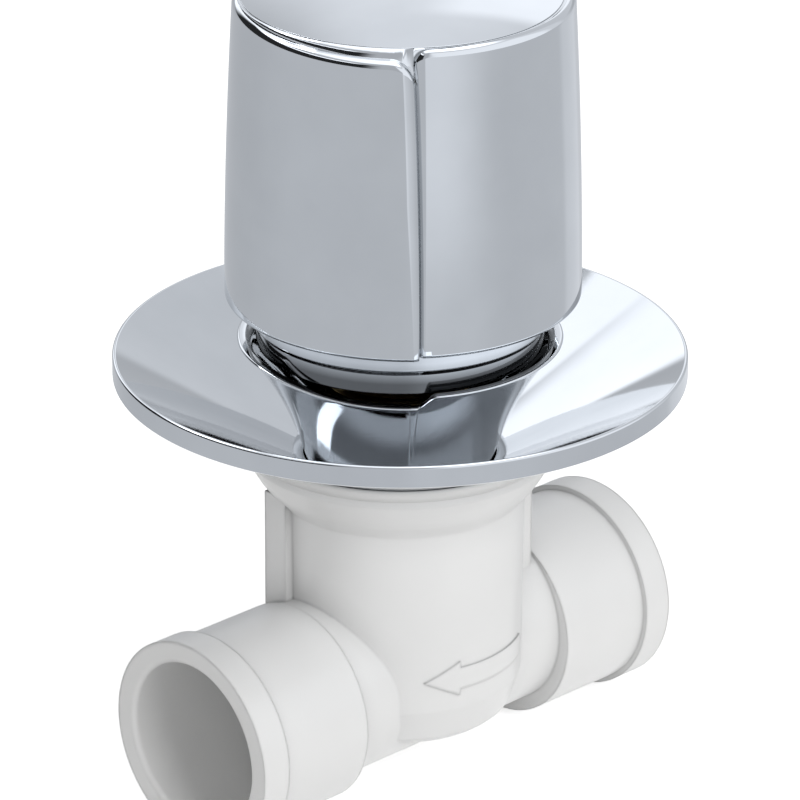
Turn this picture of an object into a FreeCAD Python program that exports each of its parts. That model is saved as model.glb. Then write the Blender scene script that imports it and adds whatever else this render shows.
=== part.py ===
import FreeCAD, Part
import math
import os

# Concealed stop valve for a 25 mm solvent-weld water pipe. X runs along the pipe with the outlet at -X,
# Z runs up the spindle. The origin lies under the spindle, level with the lowest point of the sockets.

Vector = FreeCAD.Vector
UP = Vector(0, 0, 1)
ALONG = Vector(1, 0, 0)

# Pipe sockets and necks
pipe_bore_radius = 12.6
pipe_bore_depth = 19.0
socket_wall = 2.6
socket_lip_step = 0.8
socket_lip_length = 4.9
socket_length = 21.3
half_length = 42.1
mouth_chamfer = 0.6
neck_half_height = 14.0
neck_half_width = 13.3
neck_lift = 1.0
waterway_radius = 9.5

# Barrel, bowl and ribs of the body
barrel_radius = 18.2
barrel_flare = 0.4
barrel_foot_radius = 16.6
barrel_foot_height = 5.9
barrel_drop = 6.4
chamber_radius = 14.2
bowl_radius = 23.0
bowl_wall = 2.4
bowl_height = 7.0
bowl_clearance = 2.15
socket_well_radius = 16.1
rib_width = 4.4
rib_offset = 6.2
rib_reach = 19.5

# Flow arrow cast on the barrel
arrow_relief = 0.35
arrow_head_height = 5.5
arrow_shaft_height = 3.4
arrow_span_angle = 52.0
arrow_head_angle = 13.0
arrow_lift = 5.1

# Seat and the jumper that closes it
seat_bore_radius = 6.0
seat_ring_wall = 2.4
seat_ring_lip = 1.2
partition_thickness = 2.0
outlet_slot_width = 15.0
outlet_slot_rise = 13.5
web_thickness = 2.2
inlet_margin = 0.6
washer_radius = 8.0
washer_thickness = 2.5
washer_hole_radius = 1.6
disc_radius = 8.6
disc_thickness = 2.8
jumper_stem_radius = 2.4
jumper_stem_length = 6.0
nut_flats = 5.5
nut_height = 2.2

# Bonnet, spindle and gland
ledge_above_seat = 10.3
seal_thickness = 1.0
seal_wall = 1.6
bonnet_tail_length = 6.0
jumper_well_radius = 9.4
bonnet_hex_flats = 27.0
bonnet_hex_height = 5.0
bonnet_tube_radius = 11.0
bonnet_tube_length = 18.0
spindle_thread_radius = 7.0
spindle_thread_length = 6.0
spindle_lift = 4.5
journal_radius = 6.0
journal_top_gap = 3.0
nose_radius = 5.0
packing_box_radius = 8.5
packing_height = 2.2
gland_washer_thickness = 0.8
gland_thread_length = 4.0
gland_flats = 17.0
gland_flange_height = 4.0
ring_section_radius = 0.9
spline_radius = 4.6
spline_length = 18.0
spline_teeth = 16
spline_depth = 0.5
running_gap = 0.05
ring_gap = 0.06
seat_gap = 0.03

# Escutcheon plate and its trumpet collar
plate_radius = 42.3
plate_rim_height = 3.3
plate_rim_width = 2.0
plate_thickness = 1.2
plate_edge_round = 0.3
plate_rim_level = 66.6
hub_wall = 0.9
hub_lip = 0.8
hub_ring_height = 1.5
collar_wall = 1.35
collar_gap = 0.15
collar_rim_radius = 24.0
collar_rim_rise = 2.6
collar_throat_radius = 14.1
collar_throat_drop = 16.2
collar_tail = 1.6
collar_dip = 2.35
collar_dip_angle = 65.0
collar_step_angle = 5.0
collar_leaf_step = 0.5
collar_seam_angle = -127.0
insert_height = 7.0

# Handle: chromed shell with an overlapping leaf, skirt sleeve, core and cap
handle_base_rise = 9.2
handle_height = 46.2
handle_wall = 1.8
handle_overhang = 4.95
handle_taper = 0.058
handle_bulge = 0.61
handle_bulge_angle = 135.0
handle_foot_bevel = 0.8
handle_edge_round = 1.2
seam_angle = -128.0
seam_groove = 1.05
seam_groove_angle = 2.8
seam_corner = 2.6
leaf_start_angle = 264.0
leaf_step = 1.2
leaf_bevel = 0.5
leaf_corner = 3.5
leaf_drop = 1.4
leaf_tip_angle = 276.0
leaf_tip_height = 3.4
leaf_tip_inset = 0.04
collar_to_skirt = 1.45
skirt_wall = 1.3
skirt_bead = 0.7
skirt_bead_height = 3.6
skirt_drop = 7.4
core_plate_level = 19.0
core_plate_thickness = 2.2
core_rib_height = 6.0
core_rib_width = 1.4
core_post_wall = 1.8
hub_outer_radius = 9.0
adaptor_wall = 1.9
screw_radius = 2.0
screw_head_radius = 4.0
screw_head_height = 2.6
screw_length = 11.0
cap_radius = 23.3
cap_thickness = 1.6
cap_crown = 2.2
cap_skirt_inset = 1.6
cap_skirt_depth = 5.0

# Levels worked out from the sizes above
socket_radius = pipe_bore_radius + socket_wall
lip_radius = socket_radius + socket_lip_step
pipe_level = lip_radius
barrel_bottom = pipe_level - barrel_drop
partition_bottom = pipe_level + waterway_radius
partition_top = partition_bottom + partition_thickness
seat_top = partition_top + seat_ring_lip
washer_top = seat_top + washer_thickness
disc_top = washer_top + disc_thickness
ledge_level = seat_top + ledge_above_seat
hex_bottom = ledge_level + seal_thickness
hex_top = hex_bottom + bonnet_hex_height
bonnet_top = hex_top + bonnet_tube_length
thread_bottom = hex_bottom + 0.4
thread_zone_top = thread_bottom + spindle_thread_length + spindle_lift + 0.6
packing_bottom = bonnet_top - gland_thread_length - gland_washer_thickness - packing_height
gland_top = bonnet_top + gland_flange_height
throat_level = plate_rim_level - collar_throat_drop
collar_top = plate_rim_level + collar_rim_rise
handle_bottom = plate_rim_level + handle_base_rise
handle_top = handle_bottom + handle_height
skirt_radius = collar_rim_radius - collar_wall - collar_to_skirt
handle_mean_radius = skirt_radius + handle_overhang
plate_inner_rim = plate_radius - plate_rim_width
plate_hole_radius = collar_throat_radius + collar_gap
plate_fall = collar_throat_drop / (plate_inner_rim - plate_hole_radius)
bowl_top = plate_rim_level - (plate_inner_rim - bowl_radius) * plate_fall - plate_thickness - bowl_clearance
core_level = handle_bottom + core_plate_level
spline_top = core_level - 0.6


def revolve(points):
    """Solid of revolution about Z from (radius, height) points."""
    wire = Part.makePolygon([Vector(r, 0, z) for r, z in points + points[:1]])
    return Part.Face(wire).revolve(Vector(0, 0, 0), UP, 360)


def tube(outer, inner, low, high):
    """Plain ring about Z."""
    solid = Part.makeCylinder(outer, high - low, Vector(0, 0, low))
    return solid.cut(Part.makeCylinder(inner, high - low, Vector(0, 0, low)))


def hexagon(flats, low, high):
    """Hexagonal prism about Z."""
    corner = flats / math.sqrt(3)
    angles = [math.radians(60 * i) for i in range(7)]
    wire = Part.makePolygon([Vector(corner * math.cos(a), corner * math.sin(a), low) for a in angles])
    return Part.Face(wire).extrude(Vector(0, 0, high - low))


def save(name, shape):
    """One STEP file for each separate piece."""
    shape = shape.removeSplitter()
    if not shape.isValid() or shape.Volume <= 0:
        raise ValueError(name + " is not a sound solid")
    shape.exportStep("parts/" + name + ".step")
    print(name, "solids", len(shape.Solids), "volume", round(shape.Volume, 1))


def socket(side):
    """Outside of one pipe socket with its raised lip, pointing to side * X."""
    start = half_length - socket_length
    axis = Vector(side, 0, 0)
    barrel = Part.makeCylinder(socket_radius, socket_length, Vector(side * start, 0, pipe_level), axis)
    lip_start = half_length - socket_lip_length
    lip = Part.makeCylinder(lip_radius, socket_lip_length, Vector(side * lip_start, 0, pipe_level), axis)
    return barrel.fuse(lip)


def socket_hollow(side):
    """Pipe bore with its lead-in chamfer and the waterway behind it."""
    axis = Vector(side, 0, 0)
    stop = half_length - pipe_bore_depth
    pipe = Part.makeCylinder(pipe_bore_radius, pipe_bore_depth, Vector(side * stop, 0, pipe_level), axis)
    mouth = Part.makeCone(
        pipe_bore_radius,
        pipe_bore_radius + mouth_chamfer,
        mouth_chamfer,
        Vector(side * (half_length - mouth_chamfer), 0, pipe_level),
        axis,
    )
    return pipe.fuse(mouth)


def neck():
    """Oval tube that joins the two sockets under the barrel."""
    reach = half_length - socket_length + 0.5
    centre = Vector(-reach, 0, pipe_level + neck_lift)
    ends = [centre + Vector(0, neck_half_width, 0), centre + Vector(0, 0, neck_half_height)]
    ends.sort(key=centre.distanceToPoint, reverse=True)
    oval = Part.Ellipse(ends[0], ends[1], centre).toShape()
    return Part.Face(Part.Wire([oval])).extrude(Vector(2 * reach, 0, 0))


def flow_arrow():
    """Raised arrow bent round the barrel, pointing to the outlet."""
    mid = barrel_bottom + barrel_foot_height + arrow_lift
    start = -90 - arrow_span_angle / 2
    low = mid - arrow_head_height
    skin = tube(barrel_radius + arrow_relief, barrel_radius - 0.6, low, low + 2 * arrow_head_height)
    reach = barrel_radius + 2

    def at(angle, height):
        x = reach * math.tan(math.radians(angle + 90))
        return Vector(x, -reach, mid + height)

    head = arrow_head_height / 2
    shaft = arrow_shaft_height / 2
    neck_angle = start + arrow_head_angle
    stop = -90 + arrow_span_angle / 2
    outline = [
        at(start, 0),
        at(neck_angle, head),
        at(neck_angle, shaft),
        at(stop, shaft),
        at(stop, -shaft),
        at(neck_angle, -shaft),
        at(neck_angle, -head),
        at(start, 0),
    ]
    prism = Part.Face(Part.makePolygon(outline)).extrude(Vector(0, reach, 0))
    return skin.common(prism)


def valve_body():
    """White moulded body: barrel, bowl, neck, sockets and the globe waterway."""
    bowl_base = bowl_top - bowl_height
    top_radius = barrel_radius + barrel_flare
    barrel = revolve([
        (0, barrel_bottom),
        (barrel_foot_radius - 1.0, barrel_bottom),
        (barrel_foot_radius, barrel_bottom + 0.9),
        (barrel_radius, barrel_bottom + barrel_foot_height),
        (top_radius, bowl_base - 1.0),
        (top_radius + 0.8, bowl_base),
        (top_radius + 1.9, bowl_base + 1.2),
        (top_radius + 2.7, bowl_base + 2.3),
        (bowl_radius - 0.7, bowl_base + 4.0),
        (bowl_radius, bowl_top - 1.4),
        (bowl_radius, bowl_top),
        (0, bowl_top),
    ])
    body = barrel.fuse([neck(), socket(1), socket(-1)])
    for side in (1, -1):
        low = Vector(side * (barrel_radius - 2.5), -side * rib_offset, pipe_level)
        depth = rib_reach - barrel_radius + 2.5
        rib = Part.makeBox(depth, rib_width, bowl_base + 1.5 - pipe_level)
        rib.translate(Vector(low.x if side > 0 else low.x - depth, low.y - rib_width / 2, low.z))
        body = body.fuse(rib)
    body = body.fuse(flow_arrow())

    well = revolve([
        (0, ledge_level),
        (socket_well_radius, ledge_level),
        (socket_well_radius, bowl_base + 1.0),
        (bowl_radius - bowl_wall, bowl_base + 5.0),
        (bowl_radius - bowl_wall, bowl_top + 1),
        (0, bowl_top + 1),
    ])
    chamber = Part.makeCylinder(chamber_radius, ledge_level - partition_top + 1, Vector(0, 0, partition_top))
    inlet_end = seat_bore_radius + seat_ring_wall + inlet_margin
    bore_stop = half_length - pipe_bore_depth + 0.5
    inlet = Part.makeCylinder(
        waterway_radius,
        bore_stop + inlet_end,
        Vector(-inlet_end, 0, pipe_level),
        ALONG,
    )
    outlet_start = inlet_end + web_thickness
    outlet = Part.makeCylinder(
        waterway_radius,
        bore_stop - outlet_start,
        Vector(-outlet_start, 0, pipe_level),
        Vector(-1, 0, 0),
    )
    slot_length = chamber_radius + 0.6 - outlet_start
    slot = Part.makeBox(slot_length, outlet_slot_width, outlet_slot_rise)
    slot.translate(Vector(-outlet_start - slot_length, -outlet_slot_width / 2, pipe_level))
    ring_seat = Part.makeCylinder(
        seat_bore_radius + seat_ring_wall, partition_thickness + 4, Vector(0, 0, partition_bottom - 3.0)
    )
    for hollow in (well, chamber, inlet, outlet, slot, ring_seat, socket_hollow(1), socket_hollow(-1)):
        body = body.cut(hollow)
    return body


def seat_ring():
    """Turned brass seat pressed into the partition, with a narrow raised lip."""
    outer = seat_bore_radius + seat_ring_wall - seat_gap
    return revolve([
        (seat_bore_radius, partition_bottom - 1.0),
        (outer, partition_bottom - 1.0),
        (outer, partition_top),
        (outer - 0.9, partition_top + 0.4),
        (seat_bore_radius + 0.7, seat_top),
        (seat_bore_radius + 0.1, seat_top),
        (seat_bore_radius, seat_top - 0.2),
    ])


def disc_holder():
    """Brass jumper: a disc with a pin for the washer below and a stem for the spindle above."""
    return revolve([
        (0, seat_top - nut_height - 0.5),
        (washer_hole_radius - seat_gap, seat_top - nut_height - 0.5),
        (washer_hole_radius - seat_gap, washer_top),
        (disc_radius, washer_top),
        (disc_radius, disc_top - 0.8),
        (disc_radius - 0.8, disc_top),
        (jumper_stem_radius, disc_top),
        (jumper_stem_radius, disc_top + jumper_stem_length - 0.6),
        (jumper_stem_radius - 0.6, disc_top + jumper_stem_length),
        (0, disc_top + jumper_stem_length),
    ])


def seat_washer():
    """Flat rubber washer that closes the seat."""
    return tube(washer_radius, washer_hole_radius, seat_top, washer_top)


def washer_nut():
    """Small hexagon nut that holds the washer on the jumper."""
    nut = hexagon(nut_flats, seat_top - nut_height, seat_top)
    return nut.cut(Part.makeCylinder(washer_hole_radius, nut_height, Vector(0, 0, seat_top - nut_height)))


def bonnet():
    """Brass headwork body: threaded tail, hexagon and a long threaded tube for the escutcheon."""
    tail = chamber_radius - 0.3
    solid = revolve([
        (0, ledge_level - bonnet_tail_length),
        (tail - 0.8, ledge_level - bonnet_tail_length),
        (tail, ledge_level - bonnet_tail_length + 0.8),
        (tail, hex_bottom),
        (bonnet_tube_radius, hex_bottom),
        (bonnet_tube_radius, bonnet_top - 0.8),
        (bonnet_tube_radius - 0.8, bonnet_top),
        (0, bonnet_top),
    ])
    crown = revolve([
        (0, hex_bottom),
        (bonnet_hex_flats / 2 + 1.4, hex_bottom),
        (bonnet_hex_flats / 2 + 1.4, hex_top - 1.2),
        (bonnet_hex_flats / 2 - 0.4, hex_top),
        (0, hex_top),
    ])
    solid = solid.fuse(hexagon(bonnet_hex_flats, hex_bottom, hex_top).common(crown))
    bore = revolve([
        (0, ledge_level - bonnet_tail_length - 1),
        (jumper_well_radius, ledge_level - bonnet_tail_length - 1),
        (jumper_well_radius, hex_bottom),
        (spindle_thread_radius + running_gap, hex_bottom),
        (spindle_thread_radius + running_gap, thread_zone_top),
        (journal_radius + running_gap, thread_zone_top),
        (journal_radius + running_gap, packing_bottom),
        (packing_box_radius, packing_bottom),
        (packing_box_radius, bonnet_top + 1),
        (0, bonnet_top + 1),
    ])
    return solid.cut(bore)


def spindle_ring_level():
    """Height of the spindle's lower sealing ring."""
    return thread_bottom + spindle_thread_length + 4.0


def spindle():
    """Brass spindle: nose, lifting thread, polished journal with a ring groove, and a splined end."""
    nose_bottom = disc_top + 0.05
    thread_top = thread_bottom + spindle_thread_length
    ring = spindle_ring_level()
    groove = 2 * ring_section_radius
    floor = journal_radius - groove - ring_gap
    solid = revolve([
        (0, nose_bottom),
        (nose_radius, nose_bottom),
        (nose_radius, thread_bottom),
        (spindle_thread_radius, thread_bottom),
        (spindle_thread_radius, thread_top),
        (journal_radius, thread_top),
        (journal_radius, ring - groove / 2 - 0.1),
        (floor, ring - groove / 2 - 0.1),
        (floor, ring + groove / 2 + 0.1),
        (journal_radius, ring + groove / 2 + 0.1),
        (journal_radius, gland_top + journal_top_gap - 1.0),
        (spline_radius, gland_top + journal_top_gap),
        (spline_radius, spline_top - 0.5),
        (spline_radius - 0.5, spline_top),
        (0, spline_top),
    ])
    socket_depth = jumper_stem_length + 0.4
    stem_hole = Part.makeCylinder(jumper_stem_radius + running_gap, socket_depth, Vector(0, 0, nose_bottom))
    solid = solid.cut(stem_hole)
    hole = Part.makeCylinder(screw_radius + seat_gap, screw_length, Vector(0, 0, spline_top - screw_length))
    solid = solid.cut(hole)
    for index in range(spline_teeth):
        notch = Part.makeBox(1.2, spline_depth * 1.4, spline_length)
        notch.translate(Vector(spline_radius - spline_depth, -spline_depth * 0.7, spline_top - spline_length))
        notch.rotate(Vector(0, 0, 0), UP, 360.0 * index / spline_teeth)
        solid = solid.cut(notch)
    return solid


def spindle_ring():
    """Rubber sealing ring in the spindle's groove."""
    centre = journal_radius - ring_section_radius
    return Part.makeTorus(centre, ring_section_radius, Vector(0, 0, spindle_ring_level()))


def gland_packing():
    """Soft packing ring at the bottom of the packing box."""
    high = packing_bottom + packing_height
    return tube(packing_box_radius - seat_gap, journal_radius + running_gap, packing_bottom, high)


def gland_washer():
    """Thin brass washer on the packing."""
    low = packing_bottom + packing_height
    return tube(packing_box_radius - 0.1, journal_radius + 0.1, low, low + gland_washer_thickness)


def gland_nut():
    """Brass nut that presses the packing: threaded stem and a hexagon on top of the bonnet."""
    low = bonnet_top - gland_thread_length
    nut = Part.makeCylinder(packing_box_radius - running_gap, gland_thread_length, Vector(0, 0, low))
    nut = nut.fuse(hexagon(gland_flats, bonnet_top, gland_top))
    return nut.cut(Part.makeCylinder(journal_radius + 0.1, gland_top - low, Vector(0, 0, low)))


def body_seal():
    """Flat ring between the bonnet's hexagon and the body."""
    inner = chamber_radius + 0.05
    return tube(inner + seal_wall, inner, ledge_level, ledge_level + seal_thickness)


def plate_height(radius):
    """Height of the dished top face at a radius."""
    return plate_rim_level - (plate_inner_rim - radius) * plate_fall


def escutcheon_plate():
    """Pressed round plate: upright rim, cone that falls to the throat, and a short hub."""
    outer = plate_hole_radius + hub_wall
    ring_floor = throat_level - collar_tail - hub_ring_height
    rim_bottom = plate_rim_level - plate_rim_height
    turn_under = plate_rim_level - plate_thickness - 0.4
    lip = 1.2
    return revolve([
        (plate_radius, rim_bottom),
        (plate_radius, plate_rim_level - plate_edge_round),
        (plate_radius - 0.29 * plate_edge_round, plate_rim_level - 0.29 * plate_edge_round),
        (plate_radius - plate_edge_round, plate_rim_level),
        (plate_inner_rim + 0.4, plate_rim_level),
        (plate_inner_rim, plate_rim_level - 0.1),
        (plate_hole_radius + 0.6, plate_height(plate_hole_radius + 0.6)),
        (plate_hole_radius, plate_height(plate_hole_radius) - 0.3),
        (plate_hole_radius, ring_floor),
        (plate_hole_radius - lip, ring_floor),
        (plate_hole_radius - lip, ring_floor - hub_lip),
        (outer, ring_floor - hub_lip),
        (outer, plate_height(outer) - plate_thickness),
        (plate_inner_rim - 0.4, turn_under),
        (plate_radius - plate_thickness - 0.2, turn_under),
        (plate_radius - plate_thickness - 0.2, rim_bottom),
    ])


def hub_ring():
    """Rubber friction ring between the collar's tail and the plate's hub."""
    low = throat_level - collar_tail - hub_ring_height
    return tube(plate_hole_radius - seat_gap, plate_hole_radius - 1.1, low, low + hub_ring_height)


def trumpet_points():
    """Outside of the trumpet from the rim to the throat, as (radius, height)."""
    span = collar_rim_radius - collar_throat_radius
    drop = collar_rim_rise + collar_throat_drop
    shape = (
        (1.0, 0.0),
        (0.636, 0.245),
        (0.515, 0.351),
        (0.364, 0.511),
        (0.202, 0.697),
        (0.111, 0.830),
        (0.0, 1.0),
    )
    return [(collar_throat_radius + span * a, collar_top - drop * b) for a, b in shape]


def trumpet(outward, inward):
    """Trumpet wall turned about Z, from its outside moved outward to its inside moved inward."""
    outer = [(r + outward, z) for r, z in trumpet_points()]
    inner = [(r - collar_wall - inward, z) for r, z in trumpet_points()]
    tail = throat_level - collar_tail
    curve_out = Part.BSplineCurve()
    curve_out.interpolate([Vector(r, 0, z) for r, z in outer])
    curve_in = Part.BSplineCurve()
    curve_in.interpolate([Vector(r, 0, z) for r, z in reversed(inner)])
    bottom = [
        Vector(outer[-1][0], 0, throat_level),
        Vector(outer[-1][0], 0, tail),
        Vector(inner[-1][0], 0, tail),
        Vector(inner[-1][0], 0, throat_level),
    ]
    edges = [curve_out.toShape()]
    edges += [Part.makeLine(a, b) for a, b in zip(bottom, bottom[1:])]
    edges.append(curve_in.toShape())
    edges.append(Part.makeLine(Vector(inner[0][0], 0, collar_top), Vector(outer[0][0], 0, collar_top)))
    return Part.Face(Part.Wire(edges)).revolve(Vector(0, 0, 0), UP, 360)


def escutcheon_collar():
    """Chromed trumpet on the plate's throat, with one seam: the rim dips to it and steps up again."""
    seam = math.radians(collar_seam_angle)
    shift = Vector(collar_leaf_step * math.cos(seam), collar_leaf_step * math.sin(seam), 0)
    leaf = trumpet(0.0, -0.6)
    leaf.translate(shift)
    reach = collar_rim_radius + 4
    tall = collar_rim_rise + collar_throat_drop
    quarter = Part.makeBox(reach, reach, tall, Vector(0, -reach, throat_level + 1.2))
    quarter.rotate(Vector(0, 0, 0), UP, collar_seam_angle)
    leaf = leaf.common(quarter)
    solid = trumpet(0.0, 0.0).fuse(leaf)

    middle = collar_seam_angle - collar_step_angle / 2 - collar_dip_angle / 2
    points = []
    for index in range(9):
        share = index / 8
        turn = math.radians(collar_dip_angle * (share - 0.5))
        rise = -collar_dip * (1 - (1 - share) ** 2)
        points.append(Vector(reach, collar_rim_radius * math.sin(turn), collar_top + rise))
    end = collar_dip_angle / 2 + collar_step_angle
    step = collar_rim_radius * math.sin(math.radians(end))
    curve = Part.BSplineCurve()
    curve.interpolate(points)
    rise_curve = Part.BSplineCurve()
    low = points[-1]
    high = Vector(reach, step, collar_top + 0.3)
    rise_curve.buildFromPoles([low, low + (high - low).multiply(0.5) + Vector(0, 0, -collar_dip / 2), high])
    over = collar_top + 3
    corners = [high, Vector(reach, step, over), Vector(reach, points[0].y, over), points[0]]
    edges = [curve.toShape(), rise_curve.toShape()]
    edges += [Part.makeLine(a, b) for a, b in zip(corners, corners[1:])]
    cutter = Part.Face(Part.Wire(edges)).extrude(Vector(-reach + 6, 0, 0))
    cutter.rotate(Vector(0, 0, 0), UP, middle)
    return solid.cut(cutter)


def collar_insert():
    """Threaded plastic sleeve moulded into the collar, running on the bonnet's tube."""
    inner = bonnet_tube_radius + 0.15
    outer = collar_throat_radius - collar_wall - seat_gap
    low = throat_level - collar_tail
    return revolve([
        (inner, low),
        (outer, low),
        (outer, throat_level),
        (outer + 0.7, throat_level + 2.6),
        (outer + 0.7, throat_level + insert_height - collar_tail),
        (inner, throat_level + insert_height - collar_tail),
    ])


def outline_radius(angle):
    """Plan radius of the handle at an angle from the seam: an oval that grows into the leaf at the end."""
    bulge = handle_bulge * math.cos(math.radians(angle - handle_bulge_angle))
    groove = seam_groove * math.exp(-angle / seam_groove_angle)
    share = max(angle - leaf_start_angle, 0.0) / (360 - leaf_start_angle)
    return handle_mean_radius + bulge - groove + leaf_step * share ** 1.2


def handle_scale(height):
    """Size of the plan outline at a height above the handle's lower edge."""
    share = max(height, 0.0) / handle_height
    return 1 - handle_taper * share ** 1.7


def polar_point(angle, radius, height, slope):
    """Point at an angle from the seam, lowered by the slope toward the seam."""
    turn = math.radians(seam_angle + angle)
    drop = slope * radius * math.cos(math.radians(angle))
    return Vector(radius * math.cos(turn), radius * math.sin(turn), handle_bottom + height - drop)


def seam_point(angle, height, inset, slope=0.0):
    """Point of the outline at an angle from the seam, on a plane that falls toward it with the slope."""
    radius = outline_radius(angle) * handle_scale(height) - inset
    return polar_point(angle, radius, height, slope)


def through(points):
    """Smooth curve through the points."""
    curve = Part.BSplineCurve()
    curve.interpolate(points)
    return curve.toShape()


def handle_outline(height, inset=0.0):
    """Wire that starts in the groove, runs round once and ends at the leaf's bevelled edge."""
    angles = [0.0, 1.5, 3.5, 7.0, 13.0] + [24 + 15 * step for step in range(23)] + [359.0]
    points = [seam_point(angle, height, inset) for angle in angles]
    bevel = seam_point(360.0, height, inset + leaf_bevel)
    return Part.Wire([through(points), Part.makeLine(points[-1], bevel), Part.makeLine(bevel, points[0])])


def tip_section(height, inset, slope):
    """Outline of the leaf's upper end beside the seam, on a plane with the slope."""
    angles = [leaf_tip_angle + (359.0 - leaf_tip_angle) * step / 8 for step in range(9)]
    outside = [seam_point(angle, height, inset, slope) for angle in angles]
    bevel = seam_point(360.0, height, inset + leaf_bevel, slope)
    inside = [polar_point(angle, cap_radius - 0.6, height, slope) for angle in [360.0] + angles[::-1]]
    return Part.Wire([
        through(outside),
        Part.makeLine(outside[-1], bevel),
        Part.makeLine(bevel, inside[0]),
        through(inside),
        Part.makeLine(inside[-1], outside[0]),
    ])


def round_over(angle):
    """Height and inset on the handle's rounded upper edge."""
    turn = math.radians(angle)
    height = handle_height - handle_edge_round * (1 - math.sin(turn))
    return height, handle_edge_round * (1 - math.cos(turn))


def leaf_tip():
    """Upper end of the leaf: its top falls toward the seam and ends in a rounded corner."""
    slope = leaf_drop / handle_mean_radius
    edge = []
    for angle in (0, 30, 60, 90):
        height, inset = round_over(angle)
        edge.append(tip_section(height, inset + leaf_tip_inset, slope))
    low = tip_section(handle_height - leaf_tip_height, leaf_tip_inset, 0.0)
    tip = Part.makeLoft([low, edge[0]], True, True).fuse(Part.makeLoft(edge, True, True))
    return tip.cut(corner_cutter(leaf_corner, -1, handle_top - leaf_drop))


def corner_cutter(radius, side, top):
    """What a rounded upper corner beside the seam leaves free, on one side of the seam."""
    inner = cap_radius + 0.2
    length = handle_mean_radius + 4 - inner
    past = 0.3
    block = Part.makeBox(length, radius + past, radius + 1)
    block.translate(Vector(inner, -past if side > 0 else -radius, top - radius))
    drum = Part.makeCylinder(radius, length, Vector(inner, side * radius, top - radius), ALONG)
    cutter = block.cut(drum)
    cutter.rotate(Vector(0, 0, 0), UP, seam_angle)
    return cutter


def handle_shell():
    """Chromed shell: one tapered wall that winds round and laps over its own beginning at the seam."""
    edge_low = handle_height - handle_edge_round
    heights = [handle_foot_bevel, 12.0, 24.0, 35.0, edge_low]
    wall = Part.makeLoft([handle_outline(height) for height in heights], True)
    foot = [handle_outline(0.0, handle_foot_bevel), handle_outline(handle_foot_bevel)]
    foot = Part.makeLoft(foot, True, True)
    edge = [handle_outline(*round_over(angle)) for angle in (0, 25, 50, 72, 90)]
    edge = Part.makeLoft(edge, True, True)
    solid = wall.fuse([foot, edge])

    reach = handle_mean_radius + 4
    low = handle_top - leaf_tip_height
    ring = tube(reach, cap_radius + 0.35, low, handle_top + 1)
    quarter = Part.makeBox(reach, reach, leaf_tip_height + 2, Vector(0, -reach, low - 0.5))
    beyond = quarter.copy()
    beyond.rotate(Vector(0, 0, 0), UP, leaf_tip_angle - 360)
    place = ring.common(quarter).cut(beyond)
    place.rotate(Vector(0, 0, 0), UP, seam_angle)
    solid = solid.cut(place).fuse(leaf_tip())
    solid = solid.cut(corner_cutter(seam_corner, 1, handle_top))

    inner_heights = [-1.0] + heights[1:-1] + [handle_height - handle_wall]
    cavity = [handle_outline(height, handle_wall) for height in inner_heights]
    solid = solid.cut(Part.makeLoft(cavity, True))
    mouth = cap_radius - cap_skirt_inset
    return solid.cut(Part.makeCylinder(mouth, 2 * handle_wall, Vector(0, 0, handle_top - handle_wall - 1)))


def top_cap():
    """Chromed domed cap on the shell's top, with a skirt that plugs into it. Left plain."""
    plug = cap_radius - cap_skirt_inset - 0.1
    skirt = 1.2
    edge = 0.5
    low = handle_top - cap_skirt_depth
    crown = handle_top + cap_crown
    rise = cap_crown - edge
    shares = (1.0, 0.85, 0.7, 0.55, 0.4, 0.25, 0.12)
    dome = [((cap_radius - 0.15) * share, crown - rise * share ** 2.2) for share in shares]
    return revolve([
        (0, crown - cap_thickness),
        (plug / 2, crown - 0.2 * cap_crown - cap_thickness),
        (plug - skirt, handle_top - 0.6),
        (plug - skirt, low),
        (plug, low),
        (plug, handle_top),
        (cap_radius - 0.15, handle_top),
        (cap_radius, handle_top + 0.15),
        (cap_radius, handle_top + edge - 0.15),
    ] + dome + [(0, crown)])


def skirt_sleeve():
    """Chromed sleeve under the shell that runs down into the collar."""
    low = handle_bottom - skirt_drop
    bead_low = handle_bottom - skirt_bead_height
    inner = skirt_radius - skirt_wall
    return revolve([
        (inner, low + 0.3),
        (inner + 0.3, low),
        (skirt_radius - 0.3, low),
        (skirt_radius, low + 0.3),
        (skirt_radius, bead_low - skirt_bead),
        (skirt_radius + skirt_bead, bead_low),
        (skirt_radius + skirt_bead, handle_bottom + 1.2),
        (skirt_radius, handle_bottom + 2.4),
        (skirt_radius, core_level),
        (inner, core_level),
    ])


def handle_core():
    """Plastic carrier inside the shell: hub on the adaptor, plate and ribs up to the cap."""
    hub_bottom = gland_top + spindle_lift
    top = core_level + core_plate_thickness
    edge = (handle_mean_radius - seam_groove - 0.5) * handle_scale(core_plate_level) - handle_wall - 0.1
    solid = tube(hub_outer_radius, spline_radius + adaptor_wall + seat_gap, hub_bottom, core_level)
    solid = solid.fuse(tube(edge, screw_radius + 0.3, core_level, top))
    post_high = handle_top - cap_skirt_depth
    post = cap_radius - cap_skirt_inset - 0.1
    solid = solid.fuse(tube(post, post - core_post_wall, top, post_high))
    reach = skirt_radius - skirt_wall - 0.1 - hub_outer_radius
    for index in range(6):
        rib = Part.makeBox(reach + 0.5, core_rib_width, core_rib_height)
        rib.translate(Vector(hub_outer_radius - 0.5, -core_rib_width / 2, core_level - core_rib_height))
        rib.rotate(Vector(0, 0, 0), UP, 60.0 * index + 30)
        solid = solid.fuse(rib)
    return solid


def spline_adaptor():
    """Plastic bush between the spindle's splines and the core's hub."""
    low = gland_top + spindle_lift
    return tube(spline_radius + adaptor_wall, spline_radius + seat_gap, low, core_level - 0.05)


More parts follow.
